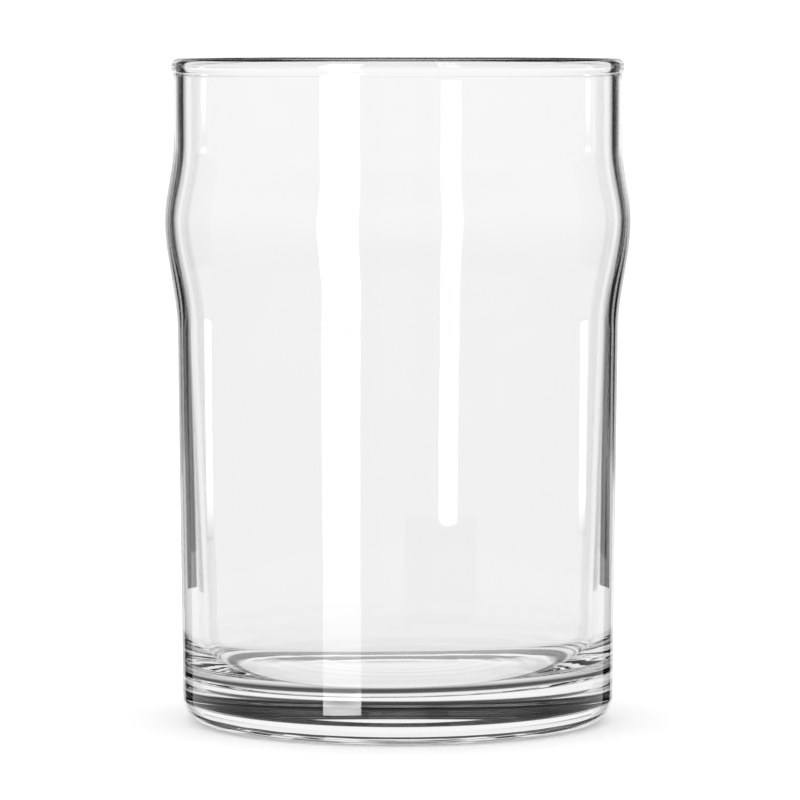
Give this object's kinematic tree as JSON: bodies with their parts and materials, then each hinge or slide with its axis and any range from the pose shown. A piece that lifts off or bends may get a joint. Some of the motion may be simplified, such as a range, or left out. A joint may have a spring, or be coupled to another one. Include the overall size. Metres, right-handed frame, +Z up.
{
  "type": "pint glass",
  "caption": "Clear straight-sided pint glass with a soft grip bulge under the fire-polished rim, a heavy base and a hollowed underside; holds a drink and stands free.",
  "frame": {"origin": "centre of the standing ring on the table plane, on the glass's axis", "axes": "+Z up along the axis through the open mouth; +X and +Y are free directions, the glass is round"},
  "size_m": [0.0824, 0.0824, 0.1175],
  "materials": {
    "clear_glass": "gloss"
  },
  "bodies": {
    "root": {"heavy_base": "clear_glass", "side_wall": "clear_glass", "grip_bulge": "clear_glass", "neck_wall": "clear_glass", "rim_bead": "clear_glass"}
  },
  "joints": []
}
